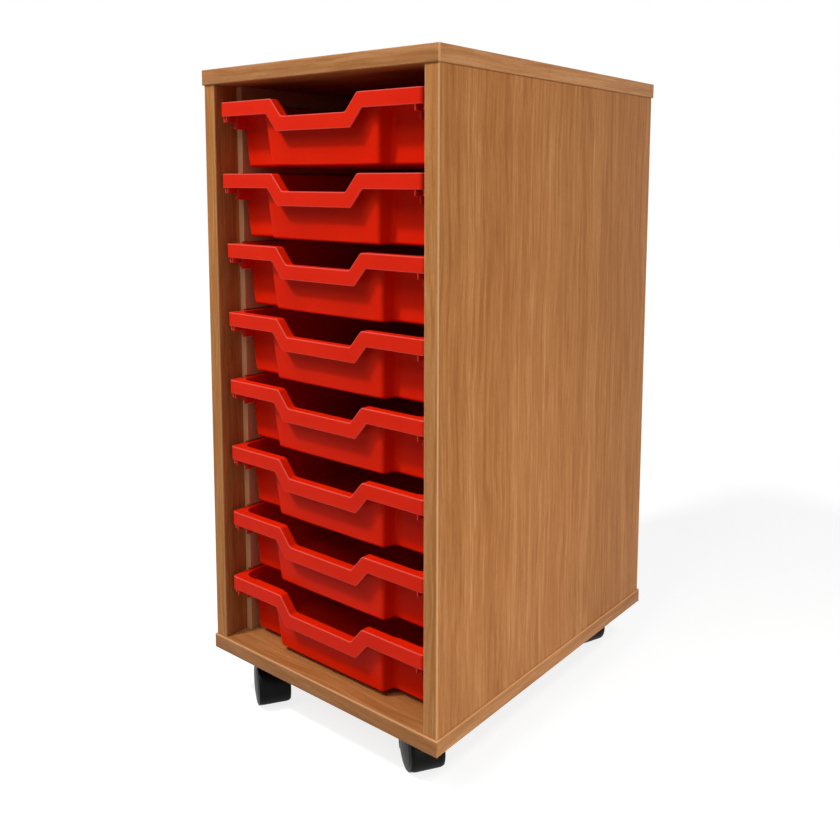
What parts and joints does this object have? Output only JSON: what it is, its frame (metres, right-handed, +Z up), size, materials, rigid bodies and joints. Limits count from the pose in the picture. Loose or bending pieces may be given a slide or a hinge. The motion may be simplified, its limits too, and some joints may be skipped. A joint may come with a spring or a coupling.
{
  "type": "classroom tray storage unit",
  "caption": "Mobile beech-faced storage unit on castors: a tall open-fronted carcass with grooved runners holding shallow moulded slide-out trays.",
  "frame": {"origin": "on the floor, at the centre of the unit's footprint", "axes": "+Z up, -Y out of the open front, +X to the right seen from the front"},
  "size_m": [0.364, 0.46, 0.789],
  "materials": {
    "beech_board": "beech-grain melamine on chipboard, satin",
    "beech_edging": "beech-grain edging, satin, rounded arrises",
    "dowel_wood": "plain beech",
    "tray_plastic": "moulded, satin gloss red",
    "runner_plastic": "moulded, pale grey-white",
    "castor_black": "moulded nylon, satin black",
    "wheel_black": "moulded nylon, satin black",
    "plated_steel": "zinc plated",
    "screw_steel": "zinc plated"
  },
  "bodies": {
    "carcass": {"top_panel": "beech_board", "base_panel": "beech_board", "left_side_panel": "beech_board", "right_side_panel": "beech_board", "back_panel": "beech_board", "top_edging": "beech_edging", "base_edging": "beech_edging", "left_side_edging": "beech_edging", "right_side_edging": "beech_edging", "top_joint_dowels": "dowel_wood", "base_joint_dowels": "dowel_wood", "left_runner_panel": "runner_plastic", "right_runner_panel": "runner_plastic", "left_runner_screws": "screw_steel", "right_runner_screws": "screw_steel", "castor_plates": "plated_steel", "castor_stems": "plated_steel", "castor_screws": "screw_steel"},
    "tray_1": {"tray_1": "tray_plastic"},
    "tray_2": {"tray_2": "tray_plastic"},
    "tray_3": {"tray_3": "tray_plastic"},
    "tray_4": {"tray_4": "tray_plastic"},
    "tray_5": {"tray_5": "tray_plastic"},
    "tray_6": {"tray_6": "tray_plastic"},
    "tray_7": {"tray_7": "tray_plastic"},
    "tray_8": {"tray_8": "tray_plastic"},
    "front_left_castor": {"front_left_castor_hood": "castor_black", "front_left_castor_axle": "plated_steel"},
    "front_left_wheel_1": {"front_left_wheel_1": "wheel_black"},
    "front_left_wheel_2": {"front_left_wheel_2": "wheel_black"},
    "front_right_castor": {"front_right_castor_hood": "castor_black", "front_right_castor_axle": "plated_steel"},
    "front_right_wheel_1": {"front_right_wheel_1": "wheel_black"},
    "front_right_wheel_2": {"front_right_wheel_2": "wheel_black"},
    "rear_left_castor": {"rear_left_castor_hood": "castor_black", "rear_left_castor_axle": "plated_steel"},
    "rear_left_wheel_1": {"rear_left_wheel_1": "wheel_black"},
    "rear_left_wheel_2": {"rear_left_wheel_2": "wheel_black"},
    "rear_right_castor": {"rear_right_castor_hood": "castor_black", "rear_right_castor_axle": "plated_steel"},
    "rear_right_wheel_1": {"rear_right_wheel_1": "wheel_black"},
    "rear_right_wheel_2": {"rear_right_wheel_2": "wheel_black"}
  },
  "joints": [
    {"name": "tray_1_slide", "type": "slide", "parent": "carcass", "child": "tray_1", "axis": [0, -1, 0], "range_m": [-0.0046, 0.2954]},
    {"name": "tray_2_slide", "type": "slide", "parent": "carcass", "child": "tray_2", "axis": [0, -1, 0], "range_m": [-0.0047, 0.2953]},
    {"name": "tray_3_slide", "type": "slide", "parent": "carcass", "child": "tray_3", "axis": [0, -1, 0], "range_m": [0, 0.3]},
    {"name": "tray_4_slide", "type": "slide", "parent": "carcass", "child": "tray_4", "axis": [0, -1, 0], "range_m": [0, 0.3]},
    {"name": "tray_5_slide", "type": "slide", "parent": "carcass", "child": "tray_5", "axis": [0, -1, 0], "range_m": [0, 0.3]},
    {"name": "tray_6_slide", "type": "slide", "parent": "carcass", "child": "tray_6", "axis": [0, -1, 0], "range_m": [0, 0.3]},
    {"name": "tray_7_slide", "type": "slide", "parent": "carcass", "child": "tray_7", "axis": [0, -1, 0], "range_m": [0, 0.3]},
    {"name": "tray_8_slide", "type": "slide", "parent": "carcass", "child": "tray_8", "axis": [0, -1, 0], "range_m": [-0.0015, 0.2985]},
    {"name": "front_left_swivel", "type": "hinge", "parent": "carcass", "child": "front_left_castor", "pos_m": [-0.131, -0.184, 0.05], "axis": [0, 0, 1], "continuous": true},
    {"name": "front_left_wheel_1_spin", "type": "hinge", "parent": "front_left_castor", "child": "front_left_wheel_1", "pos_m": [-0.11574, -0.19354, 0.025], "axis": [0.5299, 0.848, 0], "continuous": true},
    {"name": "front_left_wheel_2_spin", "type": "hinge", "parent": "front_left_castor", "child": "front_left_wheel_2", "pos_m": [-0.11574, -0.19354, 0.025], "axis": [0.5299, 0.848, 0], "continuous": true},
    {"name": "front_right_swivel", "type": "hinge", "parent": "carcass", "child": "front_right_castor", "pos_m": [0.131, -0.184, 0.05], "axis": [0, 0, 1], "continuous": true},
    {"name": "front_right_wheel_1_spin", "type": "hinge", "parent": "front_right_castor", "child": "front_right_wheel_1", "pos_m": [0.11574, -0.17446, 0.025], "axis": [-0.5299, -0.848, 0], "continuous": true},
    {"name": "front_right_wheel_2_spin", "type": "hinge", "parent": "front_right_castor", "child": "front_right_wheel_2", "pos_m": [0.11574, -0.17446, 0.025], "axis": [-0.5299, -0.848, 0], "continuous": true},
    {"name": "rear_left_swivel", "type": "hinge", "parent": "carcass", "child": "rear_left_castor", "pos_m": [-0.131, 0.184, 0.05], "axis": [0, 0, 1], "continuous": true},
    {"name": "rear_left_wheel_1_spin", "type": "hinge", "parent": "rear_left_castor", "child": "rear_left_wheel_1", "pos_m": [-0.14689, 0.19245, 0.025], "axis": [-0.4695, -0.8829, 0], "continuous": true},
    {"name": "rear_left_wheel_2_spin", "type": "hinge", "parent": "rear_left_castor", "child": "rear_left_wheel_2", "pos_m": [-0.14689, 0.19245, 0.025], "axis": [-0.4695, -0.8829, 0], "continuous": true},
    {"name": "rear_right_swivel", "type": "hinge", "parent": "carcass", "child": "rear_right_castor", "pos_m": [0.131, 0.184, 0.05], "axis": [0, 0, 1], "continuous": true},
    {"name": "rear_right_wheel_1_spin", "type": "hinge", "parent": "rear_right_castor", "child": "rear_right_wheel_1", "pos_m": [0.11409, 0.19016, 0.025], "axis": [-0.342, -0.9397, 0], "continuous": true},
    {"name": "rear_right_wheel_2_spin", "type": "hinge", "parent": "rear_right_castor", "child": "rear_right_wheel_2", "pos_m": [0.11409, 0.19016, 0.025], "axis": [-0.342, -0.9397, 0], "continuous": true}
  ]
}
